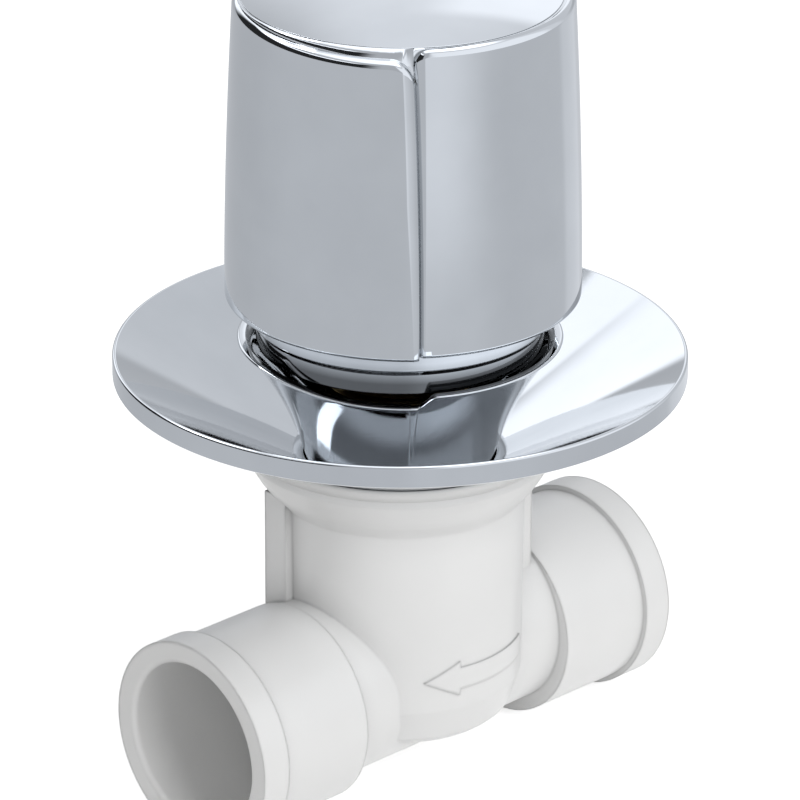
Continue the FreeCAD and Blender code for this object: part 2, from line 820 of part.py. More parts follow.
def handle_screw():
    """Steel screw that holds the core on the spindle."""
    seat = core_level + core_plate_thickness
    tip = spline_top - screw_length + 1.0
    screw = Part.makeCylinder(screw_radius, seat - tip, Vector(0, 0, tip))
    head = Part.makeCylinder(screw_head_radius, screw_head_height, Vector(0, 0, seat))
    slot = Part.makeBox(2 * screw_head_radius + 2, 1.0, 1.2)
    slot.translate(Vector(-screw_head_radius - 1, -0.5, seat + screw_head_height - 1.2))
    return screw.fuse(head).cut(slot)


os.makedirs("parts", exist_ok=True)

save("valve_body", valve_body())
save("seat_ring", seat_ring())
save("disc_holder", disc_holder())
save("seat_washer", seat_washer())
save("washer_nut", washer_nut())
save("bonnet", bonnet())
save("body_seal", body_seal())
save("spindle", spindle())
save("spindle_ring", spindle_ring())
save("gland_packing", gland_packing())
save("gland_washer", gland_washer())
save("gland_nut", gland_nut())
save("escutcheon_plate", escutcheon_plate())
save("hub_ring", hub_ring())
save("escutcheon_collar", escutcheon_collar())
save("collar_insert", collar_insert())
save("handle_shell", handle_shell())
save("skirt_sleeve", skirt_sleeve())
save("handle_core", handle_core())
save("spline_adaptor", spline_adaptor())
save("handle_screw", handle_screw())
save("top_cap", top_cap())
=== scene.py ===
import math
import bpy
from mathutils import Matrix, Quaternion, Vector


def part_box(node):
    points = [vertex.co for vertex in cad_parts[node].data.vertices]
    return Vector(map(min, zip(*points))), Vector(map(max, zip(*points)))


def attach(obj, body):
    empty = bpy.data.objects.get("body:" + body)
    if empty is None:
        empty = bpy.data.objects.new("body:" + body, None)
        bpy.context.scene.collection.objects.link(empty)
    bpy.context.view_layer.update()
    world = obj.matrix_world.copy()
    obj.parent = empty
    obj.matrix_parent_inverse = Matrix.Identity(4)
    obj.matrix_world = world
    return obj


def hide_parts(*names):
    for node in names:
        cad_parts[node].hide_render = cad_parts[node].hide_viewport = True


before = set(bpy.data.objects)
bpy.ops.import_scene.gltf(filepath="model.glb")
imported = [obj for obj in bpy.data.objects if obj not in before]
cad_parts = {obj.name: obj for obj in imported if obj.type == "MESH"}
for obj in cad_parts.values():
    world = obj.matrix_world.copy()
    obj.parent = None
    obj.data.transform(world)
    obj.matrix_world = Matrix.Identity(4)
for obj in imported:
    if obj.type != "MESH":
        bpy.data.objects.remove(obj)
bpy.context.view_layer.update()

# Valve body: one thick piece of white pvc from an injection mould, with its sockets, ribs and flow arrow.
# The skin is glossy and slightly uneven, and every corner keeps a small mould radius.
MOULD_RADIUS = 0.0009
MOULD_RADIUS_SAMPLES = 4
PVC_SHADES = ((0.80, 0.80, 0.795), (0.84, 0.84, 0.835))
PVC_ROUGHNESS = (0.30, 0.38)
PVC_SKIN_DEPTH = 0.000006
PVC_REFRACTION = 1.53
PVC_SCATTER = 0.08
PVC_SCATTER_REACH = 0.001
PVC_POCKET_REACH = 0.006
PVC_POCKET_SHADE = 0.72
POCKET_SAMPLES = 3
POCKET_OPENNESS = (0.2, 1.0)
NOISE_SPREAD = (0.3, 0.7)


def new_material(name):
    """Material with its node lists and its main shader."""
    material = bpy.data.materials.new(name)
    material.use_nodes = True
    tree = material.node_tree
    return material, tree.nodes, tree.links, tree.nodes["Principled BSDF"]


def object_noise(nodes, links, scale, detail=3.0, stretch=(1, 1, 1)):
    """Noise that sits on the piece itself."""
    place = nodes.new("ShaderNodeTexCoord")
    mapping = nodes.new("ShaderNodeMapping")
    mapping.inputs["Scale"].default_value = stretch
    noise = nodes.new("ShaderNodeTexNoise")
    noise.inputs["Scale"].default_value = scale
    noise.inputs["Detail"].default_value = detail
    links.new(place.outputs["Object"], mapping.inputs["Vector"])
    links.new(mapping.outputs["Vector"], noise.inputs["Vector"])
    return noise.outputs["Fac"]


def remap(nodes, links, value, before, after):
    """Number carried from one range to another."""
    spread = nodes.new("ShaderNodeMapRange")
    for end, number in zip(("From Min", "From Max", "To Min", "To Max"), (*before, *after)):
        spread.inputs[end].default_value = number
    links.new(value, spread.inputs["Value"])
    return spread.outputs["Result"]


def scale_colour(nodes, links, target, factor):
    """Multiplies the colour that feeds a socket."""
    scaled = nodes.new("ShaderNodeVectorMath")
    scaled.operation = "SCALE"
    links.new(target.links[0].from_socket, scaled.inputs["Vector"])
    links.new(factor, scaled.inputs["Scale"])
    links.new(scaled.outputs["Vector"], target)


def shade_between(nodes, links, noise, shades, target):
    """Colour that runs between two shades with the noise."""
    ramp = nodes.new("ShaderNodeValToRGB")
    for element, position, shade in zip(ramp.color_ramp.elements, NOISE_SPREAD, shades):
        element.position = position
        element.color = (*shade, 1)
    links.new(noise, ramp.inputs["Fac"])
    links.new(ramp.outputs["Color"], target)


def number_between(nodes, links, noise, numbers, target):
    """Number that runs between two others with the noise."""
    links.new(remap(nodes, links, noise, NOISE_SPREAD, numbers), target)


def relief(nodes, links, height, depth, shader, corner=0.0):
    """Fine relief on a surface, over softened corners where the piece has them."""
    bump = nodes.new("ShaderNodeBump")
    bump.inputs["Distance"].default_value = depth
    bump.inputs["Strength"].default_value = 1.0
    links.new(height, bump.inputs["Height"])
    if corner:
        soft = nodes.new("ShaderNodeBevel")
        soft.samples = MOULD_RADIUS_SAMPLES
        soft.inputs["Radius"].default_value = corner
        links.new(soft.outputs["Normal"], bump.inputs["Normal"])
    links.new(bump.outputs["Normal"], shader.inputs["Normal"])


def pocket_shade(nodes, links, target, reach, least):
    """Paints shade into a colour where the surface faces a narrow pocket."""
    pocket = nodes.new("ShaderNodeAmbientOcclusion")
    pocket.samples = POCKET_SAMPLES
    pocket.inputs["Distance"].default_value = reach
    light = remap(nodes, links, pocket.outputs["AO"], POCKET_OPENNESS, (least, 1.0))
    scale_colour(nodes, links, target, light)


def dress(names, material):
    """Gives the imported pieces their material."""
    for name in names:
        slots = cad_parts[name].data.materials
        slots.clear()
        slots.append(material)


pvc, nodes, links, shader = new_material("white_pvc")
cloud = object_noise(nodes, links, scale=45.0, detail=2.0)
shade_between(nodes, links, cloud, PVC_SHADES, shader.inputs["Base Color"])
# Painted shade: the pvc's colour is darkened in narrow pockets and joints, where shade falls.
pocket_shade(nodes, links, shader.inputs["Base Color"], PVC_POCKET_REACH, PVC_POCKET_SHADE)
skin = object_noise(nodes, links, scale=900.0, detail=4.0)
number_between(nodes, links, skin, PVC_ROUGHNESS, shader.inputs["Roughness"])
relief(nodes, links, skin, PVC_SKIN_DEPTH, shader, MOULD_RADIUS)
shader.inputs["IOR"].default_value = PVC_REFRACTION
shader.inputs["Subsurface Weight"].default_value = PVC_SCATTER
shader.inputs["Subsurface Radius"].default_value = (PVC_SCATTER_REACH,) * 3
dress(["valve_body"], pvc)

# Escutcheon plate: a round plate pressed from sheet brass, dished to a throat, then polished and chromed.
# It lies on the tiles with its upright rim, and the collar's tail goes through its short hub.
PLATE_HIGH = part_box("escutcheon_plate")[1]
RIM_RADIUS = PLATE_HIGH.x
RIM_LEVEL = PLATE_HIGH.z
RIM_HEIGHT = 0.0033
RIM_WIDTH = 0.0005
SHEET = 0.0012
SHEET_UPRIGHT = 1.17 * SHEET
HOLE_RADIUS = 0.01425
DISH_DEPTH = 0.0162
HUB_RADIUS = HOLE_RADIUS + 0.0009
HUB_LIP_RADIUS = HOLE_RADIUS - 0.0012
HUB_LIP = 0.0008
HUB_LENGTH = 0.0031
HUB_FLOOR = RIM_LEVEL - DISH_DEPTH - HUB_LENGTH
TURN_STEPS = 240
PLATE_STEPS = 300
CORNER_STEPS = 5
POLE_RADIUS = 0.000001
WELD_DISTANCE = 0.000004
EVEN_SHADING_WEIGHT = 60
CHROME_SHADES = ((0.565, 0.58, 0.595), (0.59, 0.605, 0.62))
CHROME_ROUGHNESS = 0.03
CHROME_HAZE_SCALE = 120.0
STROKE_SCALE = 60.0
STROKE_DETAIL = 4.0


def object_axes(nodes, links):
    """Place on the piece itself, one output for each axis."""
    place = nodes.new("ShaderNodeTexCoord")
    split = nodes.new("ShaderNodeSeparateXYZ")
    links.new(place.outputs["Object"], split.inputs["Vector"])
    return split.outputs


def chrome_plate(name, brushed):
    """Chrome over polished metal, with the faint radial strokes that the polishing wheel leaves."""
    material, nodes, links, shader = new_material(name)
    haze = object_noise(nodes, links, scale=CHROME_HAZE_SCALE)
    shade_between(nodes, links, haze, CHROME_SHADES, shader.inputs["Base Color"])
    shader.inputs["Metallic"].default_value = 1.0
    axes = object_axes(nodes, links)
    turn = nodes.new("ShaderNodeMath")
    turn.operation = "ARCTAN2"
    links.new(axes["Y"], turn.inputs[0])
    links.new(axes["X"], turn.inputs[1])
    polar = nodes.new("ShaderNodeCombineXYZ")
    links.new(turn.outputs["Value"], polar.inputs["X"])
    links.new(axes["Z"], polar.inputs["Y"])
    stroke = nodes.new("ShaderNodeTexNoise")
    stroke.inputs["Scale"].default_value = STROKE_SCALE
    stroke.inputs["Detail"].default_value = STROKE_DETAIL
    links.new(polar.outputs["Vector"], stroke.inputs["Vector"])
    roughness = (CHROME_ROUGHNESS, CHROME_ROUGHNESS + brushed)
    number_between(nodes, links, stroke.outputs["Fac"], roughness, shader.inputs["Roughness"])
    return material


def new_object(name, data):
    """Object in the scene with its data."""
    made = bpy.data.objects.new(name, data)
    bpy.context.scene.collection.objects.link(made)
    return made


def new_tree(name, inputs):
    """Tree that makes geometry from its named inputs."""
    tree = bpy.data.node_groups.new(name, "GeometryNodeTree")
    tree.interface.new_socket("Geometry", in_out="OUTPUT", socket_type="NodeSocketGeometry")
    for label, kind in inputs:
        tree.interface.new_socket(label, in_out="INPUT", socket_type=kind)
    given = tree.nodes.new("NodeGroupInput")
    return tree, tree.nodes, tree.links, given.outputs


def end_tree(nodes, links, given, mesh):
    """Ends a tree with real geometry in the material of its Finish input."""
    real = nodes.new("GeometryNodeRealizeInstances")
    links.new(mesh, real.inputs["Geometry"])
    finish = nodes.new("GeometryNodeSetMaterial")
    links.new(real.outputs["Geometry"], finish.inputs["Geometry"])
    links.new(given["Finish"], finish.inputs["Material"])
    made = nodes.new("NodeGroupOutput")
    links.new(finish.outputs["Geometry"], made.inputs["Geometry"])


def turned_tree():
    """Turns the piece's profile about Z, with the rounded corners that the profile's points ask for."""
    tree, nodes, links, given = new_tree("turned_piece", (
        ("Profile", "NodeSocketGeometry"),
        ("Steps", "NodeSocketInt"),
        ("Corner Steps", "NodeSocketInt"),
        ("Finish", "NodeSocketMaterial"),
    ))
    outline = nodes.new("GeometryNodeMeshToCurve")
    links.new(given["Profile"], outline.inputs["Mesh"])
    corner = nodes.new("GeometryNodeInputNamedAttribute")
    corner.data_type = "FLOAT"
    corner.inputs["Name"].default_value = "corner"
    rounded = nodes.new("GeometryNodeFilletCurve")
    rounded.mode = "POLY"
    rounded.inputs["Limit Radius"].default_value = True
    links.new(outline.outputs["Curve"], rounded.inputs["Curve"])
    links.new(given["Corner Steps"], rounded.inputs["Count"])
    links.new(corner.outputs["Attribute"], rounded.inputs["Radius"])
    axis = nodes.new("GeometryNodeCurvePrimitiveCircle")
    axis.inputs["Radius"].default_value = POLE_RADIUS
    links.new(given["Steps"], axis.inputs["Resolution"])
    swept = nodes.new("GeometryNodeCurveToMesh")
    links.new(axis.outputs["Curve"], swept.inputs["Curve"])
    links.new(rounded.outputs["Curve"], swept.inputs["Profile Curve"])
    poles = nodes.new("GeometryNodeMergeByDistance")
    poles.inputs["Distance"].default_value = WELD_DISTANCE
    links.new(swept.outputs["Mesh"], poles.inputs["Geometry"])
    smooth = nodes.new("GeometryNodeSetShadeSmooth")
    links.new(poles.outputs["Geometry"], smooth.inputs["Geometry"])
    end_tree(nodes, links, given, smooth.outputs["Geometry"])
    return tree


TURNED = turned_tree()


def tree_input(tree, name):
    """Identifier of a tree's named input."""
    for item in tree.interface.items_tree:
        if item.name == name and item.in_out == "INPUT":
            return item.identifier


def grow(piece, tree, values):
    """Runs a tree on a piece with values for its inputs, and keeps the mesh that it makes."""
    live = piece.modifiers.new(tree.name, "NODES")
    live.node_group = tree
    for name, value in values.items():
        live[tree_input(tree, name)] = value
    graph = bpy.context.evaluated_depsgraph_get()
    made = bpy.data.meshes.new_from_object(piece.evaluated_get(graph))
    piece.modifiers.clear()
    piece.data = made


def even_shading(piece):
    """Lets the large faces set the shading, so that only the rounded corners turn."""
    weighted = piece.modifiers.new("even_shading", "WEIGHTED_NORMAL")
    weighted.weight = EVEN_SHADING_WEIGHT


def turned_piece(name, profile, material, steps=TURN_STEPS):
    """Piece turned about Z from (radius, level, corner radius) points, outside first."""
    mesh = bpy.data.meshes.new(name)
    count = len(profile)
    edges = [(point, (point + 1) % count) for point in range(count)]
    mesh.from_pydata([(radius, -level, 0) for radius, level, corner in profile], edges, [])
    corners = mesh.attributes.new("corner", "FLOAT", "POINT")
    corners.data.foreach_set("value", [corner for radius, level, corner in profile])
    piece = new_object(name, mesh)
    grow(piece, TURNED, {"Steps": steps, "Corner Steps": CORNER_STEPS, "Finish": material})
    even_shading(piece)
    return piece


def dish_level(radius):
    """Level of the dished face at a radius."""
    edge = RIM_RADIUS - RIM_WIDTH
    return RIM_LEVEL - (edge - radius) * DISH_DEPTH / (edge - HOLE_RADIUS)


dish_chrome = chrome_plate("dish_chrome", brushed=0.05)
plate_profile = [
    (RIM_RADIUS, RIM_LEVEL - RIM_HEIGHT, 0.0002),
    (RIM_RADIUS, RIM_LEVEL, 0.0004),
    (RIM_RADIUS - RIM_WIDTH, RIM_LEVEL, 0.0003),
    (HOLE_RADIUS, dish_level(HOLE_RADIUS), 0.0004),
    (HOLE_RADIUS, HUB_FLOOR, 0.0),
    (HUB_LIP_RADIUS, HUB_FLOOR, 0.0),
    (HUB_LIP_RADIUS, HUB_FLOOR - HUB_LIP, 0.0002),
    (HUB_RADIUS, HUB_FLOOR - HUB_LIP, 0.0002),
    (HUB_RADIUS, dish_level(HUB_RADIUS) - SHEET_UPRIGHT, 0.0005),
    (RIM_RADIUS - SHEET, dish_level(RIM_RADIUS - SHEET) - SHEET_UPRIGHT, 0.0004),
    (RIM_RADIUS - SHEET, RIM_LEVEL - RIM_HEIGHT, 0.0002),
]
plate = turned_piece("plate", plate_profile, dish_chrome, PLATE_STEPS)
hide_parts("escutcheon_plate")
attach(plate, "root")

# Lip of the body's bowl: the moulded edge that the plate comes down on, white pvc in one with the body.
# It runs once round just under the plate's dished face.
BOWL_RADIUS = 0.0230
BOWL_LEVEL = 0.0522
BOWL_LIP = 0.0012
BOWL_UNDER_DISH = 1.22 * SHEET
bowl_lip_profile = [
    (BOWL_RADIUS, BOWL_LEVEL, 0.0),
    (BOWL_RADIUS, dish_level(BOWL_RADIUS) - BOWL_UNDER_DISH, 0.0002),
    (BOWL_RADIUS - BOWL_LIP, dish_level(BOWL_RADIUS - BOWL_LIP) - BOWL_UNDER_DISH, 0.0002),
    (BOWL_RADIUS - BOWL_LIP, BOWL_LEVEL, 0.0),
]
bowl_lip = turned_piece("bowl_lip", bowl_lip_profile, pvc)
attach(bowl_lip, "root")

# Trumpet collar: chromed brass tube flared to a rim, screwed on the headwork's tube to hold the plate.
# Its wall laps over itself at one seam, where the rim dips from the left and steps up again.
COLLAR_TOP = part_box("escutcheon_collar")[1].z
COLLAR_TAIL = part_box("escutcheon_collar")[0].z
COLLAR_TAIL_EDGE = 0.0016
COLLAR_RIM_RADIUS = 0.0240
COLLAR_THROAT_RADIUS = 0.0141
COLLAR_WALL = 0.00135
COLLAR_FLARE = 0.0188
COLLAR_FLARE_POWER = 1.22
COLLAR_FLARE_LIFT = 0.52
COLLAR_SEAM = -127.0
COLLAR_STEP = 0.0005
COLLAR_STEP_START = 270.0
COLLAR_DIP = 0.00235
COLLAR_DIP_ANGLE = 65.0
COLLAR_RISE_ANGLE = 6.0
COLLAR_LIP = 0.00045
COLLAR_LIP_STEPS = 4
COLLAR_LIP_SINK = 0.0001
COLLAR_ROWS = 26
COLLAR_LAP_ANGLE = 359.0
COLLAR_LAP_DEPTH = 0.0003


def flare_radius(level):
    """Outside radius of the trumpet at a level."""
    share = min(max((level - COLLAR_TOP + COLLAR_FLARE) / COLLAR_FLARE, 0.0), 1.0)
    flare = share ** (COLLAR_FLARE_POWER + COLLAR_FLARE_LIFT * share)
    return COLLAR_THROAT_RADIUS + (COLLAR_RIM_RADIUS - COLLAR_THROAT_RADIUS) * flare


def collar_rim(angle):
    """Level of the collar's rim at an angle from its seam."""
    if angle < COLLAR_RISE_ANGLE:
        share = angle / COLLAR_RISE_ANGLE
        return COLLAR_TOP - COLLAR_DIP * (1 - share * share * (3 - 2 * share))
    share = min((360 - angle) / COLLAR_DIP_ANGLE, 1.0)
    return COLLAR_TOP - COLLAR_DIP * (1 - share * share)


def quarter_turn(steps):
    """Sine and cosine at even steps of a quarter turn, its start among them."""
    turns = [math.radians(90 * step / steps) for step in range(steps + 1)]
    return [(math.sin(turn), math.cos(turn)) for turn in turns]


def collar_section(angle, inward):
    """Points of the collar's wall at an angle from its seam, up the outside and down the inside."""
    proud = COLLAR_STEP * math.cos(math.radians(angle)) if angle > COLLAR_STEP_START else 0.0
    top = collar_rim(angle)
    rim = flare_radius(top)
    shoulder = top - COLLAR_LIP
    foot = COLLAR_TAIL + COLLAR_TAIL_EDGE
    levels = [COLLAR_TAIL, COLLAR_TAIL + COLLAR_TAIL_EDGE / 2]
    levels += [foot + (shoulder - foot) * step / COLLAR_ROWS for step in range(COLLAR_ROWS + 1)]
    points = [(flare_radius(level) + proud - inward, level) for level in levels]
    lip = quarter_turn(COLLAR_LIP_STEPS)[1:]
    for sine, cosine in lip:
        radius = rim + proud - inward - COLLAR_LIP * (1 - cosine)
        points.append((radius, shoulder + COLLAR_LIP * sine))
    for sine, cosine in lip:
        radius = rim - COLLAR_WALL + COLLAR_LIP * (1 - sine) - COLLAR_LIP_SINK
        points.append((radius, shoulder + COLLAR_LIP * cosine))
    points += [(flare_radius(level) - COLLAR_WALL, level) for level in reversed(levels)]
    return points


def wrapped_mesh(name, sections, material):
    """Closed skin through sections that go round the axis, each a closed ring of (radius, level, angle)."""
    rows = len(sections[0])
    vertices = []
    for section in sections:
        for radius, level, angle in section:
            turn = math.radians(angle)
            vertices.append((radius * math.cos(turn), radius * math.sin(turn), level))
    faces = []
    for column in range(len(sections)):
        here = column * rows
        ahead = (column + 1) % len(sections) * rows
        for row in range(rows):
            above = (row + 1) % rows
            faces.append((here + row, ahead + row, ahead + above, here + above))
    mesh = bpy.data.meshes.new(name)
    mesh.from_pydata(vertices, [], faces)
    mesh.shade_smooth()
    mesh.materials.append(material)
    piece = new_object(name, mesh)
    even_shading(piece)
    return piece


collar_chrome = chrome_plate("collar_chrome", brushed=0.03)
collar_angles = [0.0, 0.4, 0.8]
collar_angles += [1.2 + 0.6 * step for step in range(8)]
collar_angles += [COLLAR_RISE_ANGLE + 2.0 * step for step in range(176)]
collar_angles += [357.0, 358.0, 358.8]
collar_stations = [(angle, 0.0) for angle in collar_angles]
for sine, cosine in quarter_turn(COLLAR_LIP_STEPS)[1:]:
    collar_stations.append((COLLAR_LAP_ANGLE + sine, COLLAR_LAP_DEPTH * (1 - cosine)))
collar_sections = [
    [(radius, level, COLLAR_SEAM + angle) for radius, level in collar_section(angle, inward)]
    for angle, inward in collar_stations
]
collar = wrapped_mesh("collar", collar_sections, collar_chrome)
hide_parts("escutcheon_collar")
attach(collar, "root")

# Handle skirt: chromed sleeve under the knob with a raised bead, which runs down into the collar.
# It is pressed on the plastic core. Below the bead its colour is painted darker, as shade where it runs down
# into the collar.
SKIRT_LOW, SKIRT_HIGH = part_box("skirt_sleeve")
SKIRT_WALL = 0.0013
BEAD_HEIGHT = 0.0007
BEAD_SLOPE = 0.0012
BEAD_RADIUS = SKIRT_HIGH.x
SKIRT_RADIUS = BEAD_RADIUS - BEAD_HEIGHT
BEAD_BOTTOM = SKIRT_LOW.z + 0.0038
BEAD_TOP = SKIRT_LOW.z + 0.0086
SKIRT_SHADE_LEVELS = (BEAD_BOTTOM - 0.0022, BEAD_BOTTOM + 0.0012)
SKIRT_SHADE_TONES = (0.15, 0.74)
skirt_chrome = chrome_plate("skirt_chrome", brushed=0.05)
nodes, links = skirt_chrome.node_tree.nodes, skirt_chrome.node_tree.links
# Painted shade: the chrome's colour darkens toward the bottom, below the bead.
painted_shade = remap(nodes, links, object_axes(nodes, links)["Z"], SKIRT_SHADE_LEVELS, SKIRT_SHADE_TONES)
scale_colour(nodes, links, nodes["Principled BSDF"].inputs["Base Color"], painted_shade)
skirt_profile = [
    (SKIRT_RADIUS, SKIRT_LOW.z, 0.0003),
    (SKIRT_RADIUS, BEAD_BOTTOM - BEAD_HEIGHT, 0.0003),
    (BEAD_RADIUS, BEAD_BOTTOM, 0.0008),
    (BEAD_RADIUS, BEAD_TOP, 0.0004),
    (SKIRT_RADIUS, BEAD_TOP + BEAD_SLOPE, 0.0003),
    (SKIRT_RADIUS, SKIRT_HIGH.z, 0.0002),
    (SKIRT_RADIUS - SKIRT_WALL, SKIRT_HIGH.z, 0.0002),
    (SKIRT_RADIUS - SKIRT_WALL, SKIRT_LOW.z, 0.0003),
]
skirt = turned_piece("skirt", skirt_profile, skirt_chrome)
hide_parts("skirt_sleeve")
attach(skirt, "handle")

# Knob shell: tall chromed wall that winds once round and laps over its own beginning with a soft leaf edge.
# The leaf's top falls toward the seam and both upper corners there are rounded. It is clipped on the core.
SHELL_LOW, SHELL_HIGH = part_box("handle_shell")
SHELL_BOTTOM = SHELL_LOW.z
SHELL_HEIGHT = SHELL_HIGH.z - SHELL_LOW.z
SHELL_RADIUS = 0.02615
SHELL_TAPER = 0.058
SHELL_TAPER_POWER = 1.7
SHELL_WALL = 0.0018
SHELL_ROWS = 24
SHELL_BULGE = 0.00061
SHELL_BULGE_ANGLE = 135.0
SHELL_EDGE = 0.0012
SHELL_EDGE_STEPS = 8
SHELL_FOOT = 0.0006
SHELL_FOOT_STEPS = 3
SEAM_ANGLE = -128.0
SEAM_LEAN = 2.2
SEAM_LEAN_POWER = 2.6
SEAM_GROOVE = 0.0007
SEAM_GROOVE_WIDTH = (0.0008, 0.0019)
SEAM_GROOVE_POWER = 1.5
SEAM_SLIT = 0.0001
SEAM_SLIT_ANGLE = 0.6
SEAM_SLIT_POWER = 4
SEAM_CORNER = 0.0026
LEAF_START = 264.0
LEAF_STEP = 0.0012
LEAF_STEP_POWER = 1.2
LEAF_CORNER = 0.0035
LEAF_DROP = 0.0014
LEAF_DROP_START = 270.0
LEAF_EDGE_WIDTH = (0.0008, 0.0017)
LEAF_EDGE_DEPTH = (0.0005, 0.0011)
LEAF_EDGE_SHAPE = (
    (1.0, 0.0),
    (0.92, 0.012),
    (0.84, 0.045),
    (0.76, 0.09),
    (0.6, 0.19),
    (0.44, 0.3),
    (0.28, 0.42),
    (0.16, 0.53),
    (0.07, 0.66),
    (0.02, 0.82),
    (0.0, 1.0),
)
CAP_RADIUS = 0.0233
CAP_OPENING = 0.0217
MOUTH_RADIUS = CAP_RADIUS + 0.0003
MOUTH_SHOULDER = CAP_RADIUS + 0.00035
MOUTH_SHOULDER_DROP = 0.00002
CAVITY_HEIGHTS = (SHELL_HEIGHT - SHELL_WALL, 0.035, 0.024, 0.012, 0.0)


def mix(first, second, share):
    """Value between two others."""
    return first + (second - first) * share


def wrap_radius(angle, height):
    """Plan radius of the knob at an angle from its seam. The groove there is wider toward the top."""
    bulge = SHELL_BULGE * math.cos(math.radians(angle - SHELL_BULGE_ANGLE))
    width = mix(*SEAM_GROOVE_WIDTH, min(max(height, 0.0) / SHELL_HEIGHT, 1.0) ** 2)
    closed = max(1 - math.radians(angle) * SHELL_RADIUS / width, 0.0)
    groove = SEAM_GROOVE * closed ** SEAM_GROOVE_POWER
    if angle < SEAM_SLIT_ANGLE:
        groove += SEAM_SLIT * (1 - (angle / SEAM_SLIT_ANGLE) ** SEAM_SLIT_POWER)
    share = max(angle - LEAF_START, 0.0) / (360 - LEAF_START)
    return SHELL_RADIUS + bulge - groove + LEAF_STEP * share ** LEAF_STEP_POWER


def shell_scale(height):
    """Size of the plan at a height above the knob's lower edge."""
    return 1 - SHELL_TAPER * (max(height, 0.0) / SHELL_HEIGHT) ** SHELL_TAPER_POWER


def shell_rim(angle):
    """Height of the knob's upper edge at an angle from its seam."""
    height = SHELL_HEIGHT
    if angle > LEAF_DROP_START:
        height -= LEAF_DROP * math.cos(math.radians(angle))
    for corner, away in ((SEAM_CORNER, angle), (LEAF_CORNER, 360 - angle)):
        arc = math.radians(away) * SHELL_RADIUS
        if arc < corner and (away == angle or angle > LEAF_DROP_START):
            height -= corner - math.sqrt(corner ** 2 - (corner - arc) ** 2)
    return height


def leaf_edge(height, place):
    """How far the leaf's soft edge stands back from the seam and inward, at a place of its shape."""
    share = min(max(height, 0.0) / (0.5 * SHELL_HEIGHT), 1.0)
    width = mix(*LEAF_EDGE_WIDTH, share)
    depth = mix(*LEAF_EDGE_DEPTH, share)
    return math.degrees(width * place[0] / SHELL_RADIUS), depth * place[1]


def shell_point(angle, height, inset, place):
    """Point of the knob's skin, with the seam leaning back toward the top."""
    back, inward = leaf_edge(height, place) if place else (0.0, 0.0)
    at = angle - back
    radius = wrap_radius(at, height) * shell_scale(height) - inset - inward
    lean = SEAM_LEAN * (max(height, 0.0) / SHELL_HEIGHT) ** SEAM_LEAN_POWER
    return radius, SHELL_BOTTOM + height, SEAM_ANGLE + at - lean


def shell_section(angle, place=None):
    """Wall of the knob at an angle from its seam: up the outside, over the top and down the cavity."""
    rim = shell_rim(angle - (leaf_edge(SHELL_HEIGHT, place)[0] if place else 0.0))
    shoulder = rim - SHELL_EDGE
    skin = [
        (SHELL_FOOT * (1 - cosine), SHELL_FOOT * (1 - sine))
        for sine, cosine in quarter_turn(SHELL_FOOT_STEPS)
    ]
    skin += [
        (SHELL_FOOT + (shoulder - SHELL_FOOT) * step / SHELL_ROWS, 0.0)
        for step in range(1, SHELL_ROWS + 1)
    ]
    skin += [
        (shoulder + SHELL_EDGE * sine, SHELL_EDGE * (1 - cosine))
        for sine, cosine in quarter_turn(SHELL_EDGE_STEPS)[1:]
    ]
    points = [shell_point(angle, height, inset, place) for height, inset in skin]
    radius, level, turn = points[-1]
    top = SHELL_BOTTOM + SHELL_HEIGHT
    points += [
        (MOUTH_SHOULDER, min(level, top - MOUTH_SHOULDER_DROP), turn),
        (MOUTH_RADIUS, top, turn),
        (CAP_OPENING, top, turn),
        (CAP_OPENING, top - SHELL_WALL, turn),
    ]
    points += [shell_point(angle, height, SHELL_WALL, place) for height in CAVITY_HEIGHTS]
    return points


shell_angles = [0.0, 0.2, 0.4, 0.6, 0.9]
shell_angles += [1.3, 1.8, 2.3, 2.8, 3.3, 3.8, 4.3]
shell_angles += [5.2, 6.5, 8.0, 10.0, 13.0]
shell_angles += [16.0 + 3.0 * step for step in range(113)]
shell_angles += [353.5, 354.5]
shell_sections = [shell_section(angle) for angle in shell_angles]
shell_sections += [shell_section(360.0, place) for place in LEAF_EDGE_SHAPE]
knob_chrome = chrome_plate("knob_chrome", brushed=0.02)
shell = wrapped_mesh("knob_shell", shell_sections, knob_chrome)
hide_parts("handle_shell")
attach(shell, "handle")

# Top cap: cover of the knob in chromed plastic, a shallow dome with a thin rim.
# Its skirt plugs into the shell's mouth and hides the screw.
DOME_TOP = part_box("top_cap")[1].z
DOME_STEPS = 20
DOME_POWER = 2.2
CAP_LEVEL = SHELL_BOTTOM + SHELL_HEIGHT
CAP_RIM = 0.0001
CAP_PLUG_RADIUS = CAP_OPENING - 0.0001
CAP_PLUG_BORE = CAP_OPENING - 0.0013
CAP_PLUG_LEVEL = CAP_LEVEL - 0.005
CAP_UNDERSIDE = CAP_LEVEL - 0.0006
CAP_CROWN = 0.0016
dome = []
for step in range(DOME_STEPS - 1, 0, -1):
    share = step / DOME_STEPS
    level = DOME_TOP - (DOME_TOP - CAP_LEVEL - CAP_RIM) * share ** DOME_POWER
    dome.append((CAP_RADIUS * share, level, 0.0))
cap_profile = [
    (CAP_PLUG_RADIUS, CAP_PLUG_LEVEL, 0.0002),
    (CAP_PLUG_RADIUS, CAP_LEVEL, 0.0),
    (CAP_RADIUS, CAP_LEVEL, 0.0001),
    (CAP_RADIUS, CAP_LEVEL + CAP_RIM, 0.0001),
    *dome,
    (0.0, DOME_TOP, 0.0),
    (0.0, DOME_TOP - CAP_CROWN, 0.0),
    (CAP_PLUG_BORE, CAP_UNDERSIDE, 0.0003),
    (CAP_PLUG_BORE, CAP_PLUG_LEVEL, 0.0002),
]
cap = turned_piece("cap", cap_profile, knob_chrome)
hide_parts("top_cap")
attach(cap, "handle")

